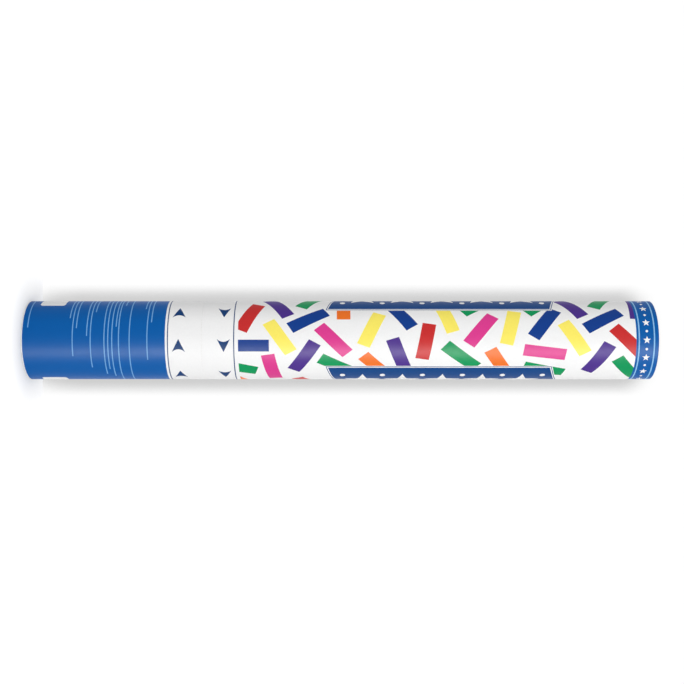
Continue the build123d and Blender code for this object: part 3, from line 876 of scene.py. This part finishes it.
def sweep_facing(finish):
    """Facing used for the painted shade of the stage: up from the floor, forward from the sheet, and turning
    evenly in between.
    """
    parts = finish.add("ShaderNodeSeparateXYZ")
    finish.join(finish.place, parts.inputs["Vector"])
    facing = finish.add("ShaderNodeCombineXYZ")
    forward = finish.span(parts.outputs["Y"], 0.0, -1.0, start=behind - sweep_reach, end=behind)
    finish.join(forward, facing.inputs["Y"])
    finish.join(finish.span(parts.outputs["Z"], 1.0, 0.0, end=sweep_reach), facing.inputs["Z"])
    unit = finish.add("ShaderNodeVectorMath", operation="NORMALIZE")
    finish.join(facing.outputs["Vector"], unit.inputs[0])
    return unit.outputs["Vector"]


def painted_nearness_shade(finish, distance, shade, clear):
    """Painted shade: a level that falls from clear to shade as the tube comes near, by how much of the view
    it shuts off.
    """
    nearness = finish.add("ShaderNodeAmbientOcclusion", samples=painted_shade_samples)
    nearness.inputs["Distance"].default_value = distance
    finish.join(sweep_facing(finish), nearness.inputs["Normal"])
    return finish.span(nearness.outputs["AO"], shade[1], clear[1], start=shade[0], end=clear[0])


def make_floor_white():
    """Pale floor that keeps the shadow: a matt white, plus a share of light that lights nothing else,
    darkened near the tube by painted shade.
    """
    finish = Finish("floor_white")
    matt = finish.add("ShaderNodeBsdfDiffuse")
    finish.feed(matt.inputs["Color"], floor_white)
    level = finish.maths("MULTIPLY", finish.seen(), floor_glow)
    # Painted shade: the floor's glow darkens where the tube shuts off the view
    shade = painted_nearness_shade(finish, floor_painted_shade_reach, floor_shade, floor_clear)
    glow = finish.add("ShaderNodeEmission")
    finish.join(finish.maths("MULTIPLY", level, shade), glow.inputs["Strength"])
    ground = finish.add("ShaderNodeAddShader")
    finish.join(matt.outputs["BSDF"], ground.inputs[0])
    finish.join(glow.outputs["Emission"], ground.inputs[1])
    finish.surface(ground.outputs["Shader"])
    return finish.material


def make_backdrop_white():
    """White glowing sheet, with painted shade only where the tube comes near it, and clear from behind."""
    finish = Finish("backdrop_white")
    # Painted shade: the sheet's glow darkens where the tube shuts off the view
    shade = painted_nearness_shade(finish, backdrop_painted_shade_reach, backdrop_shade, backdrop_clear)
    glow = finish.add("ShaderNodeEmission")
    finish.join(shade, glow.inputs["Strength"])
    clear = finish.add("ShaderNodeBsdfTransparent")
    choice = finish.add("ShaderNodeMixShader")
    finish.join(finish.add("ShaderNodeNewGeometry").outputs["Backfacing"], choice.inputs["Fac"])
    finish.join(glow.outputs["Emission"], choice.inputs[1])
    finish.join(clear.outputs["BSDF"], choice.inputs[2])
    finish.surface(choice.outputs["Shader"])
    return finish.material


def add_ground(name, corners, material):
    """Flat piece of the stage, from its four corners."""
    mesh = bpy.data.meshes.new(name)
    mesh.from_pydata(corners, [], [(0, 1, 2, 3)])
    mesh.materials.append(material)
    ground = bpy.data.objects.new(name, mesh)
    scene.collection.objects.link(ground)
    return ground


floor_corners = [
    (-stage_reach, -stage_reach, 0),
    (stage_reach, -stage_reach, 0),
    (stage_reach, stage_reach, 0),
    (-stage_reach, stage_reach, 0),
]
floor = add_ground("floor", floor_corners, make_floor_white())
backdrop_corners = [
    (-stage_reach, behind, 0),
    (stage_reach, behind, 0),
    (stage_reach, behind, stage_reach),
    (-stage_reach, behind, stage_reach),
]
backdrop = add_ground("backdrop", backdrop_corners, make_backdrop_white())
floor.visible_shadow = False
backdrop.visible_diffuse = False
backdrop.visible_glossy = False
backdrop.visible_transmission = False
backdrop.visible_shadow = False

# World: white to the eye, a little less as light
world_light = 0.77
world_white = 1.0
world = bpy.data.worlds.new("studio")
scene.world = world
world.use_nodes = True
world_nodes = world.node_tree.nodes
join_world = world.node_tree.links.new
sky = world_nodes["Background"]
sky.inputs["Color"].default_value = (1, 1, 1, 1)
path = world_nodes.new("ShaderNodeLightPath").outputs
eye = world_nodes.new("ShaderNodeMath")
eye.operation = "ADD"
eye_or_glass = world_nodes.new("ShaderNodeMath")
eye_or_glass.operation = "ADD"
level = world_nodes.new("ShaderNodeMapRange")
level.inputs["To Min"].default_value = world_light
level.inputs["To Max"].default_value = world_white
join_world(path["Is Camera Ray"], eye.inputs[0])
join_world(path["Is Glossy Ray"], eye.inputs[1])
join_world(eye.outputs["Value"], eye_or_glass.inputs[0])
join_world(path["Is Transmission Ray"], eye_or_glass.inputs[1])
join_world(eye_or_glass.outputs["Value"], level.inputs["Value"])
join_world(level.outputs["Result"], sky.inputs["Strength"])


def add_softbox(name, place, width, height, power):
    """Rectangular lamp at a place, turned to face the tube's middle with its height upright."""
    lamp = bpy.data.lights.new(name, "AREA")
    lamp.shape = "RECTANGLE"
    lamp.size = width
    lamp.size_y = height
    lamp.energy = power
    softbox = bpy.data.objects.new(name, lamp)
    scene.collection.objects.link(softbox)
    softbox.location = place
    softbox.rotation_euler = (tube_middle - Vector(place)).to_track_quat("-Z", "Y").to_euler()
    return softbox


# Lamps: a key in front, a fill behind, and one that shows only in the gloss along the tube
tube_middle = Vector((0, 0, 0.2))
add_softbox("key", place=(0.53, -1.1, 0.26), width=0.5, height=1.2, power=8.0)
add_softbox("back_fill", place=(0.1, 1.4, 0.5), width=1.0, height=1.0, power=4.0)
sheen = add_softbox("sheen", place=(0.717, -0.987, 0.26), width=0.4, height=1.2, power=52.0)
sheen.visible_diffuse = False

# Camera: level with the tube's middle and on its side, so that the tube lies across the picture
camera_distance = 0.72
camera_side = 0.0012
camera_height = 0.2012
sensor_width = 36.0
focal_length = 58.4
lens = bpy.data.cameras.new("camera")
lens.sensor_width = sensor_width
lens.lens = focal_length
camera = bpy.data.objects.new("camera", lens)
scene.collection.objects.link(camera)
camera.matrix_world = Matrix((
    (0, -1, 0, camera_side),
    (0, 0, -1, -camera_distance),
    (1, 0, 0, camera_height),
    (0, 0, 0, 1),
))
scene.camera = camera
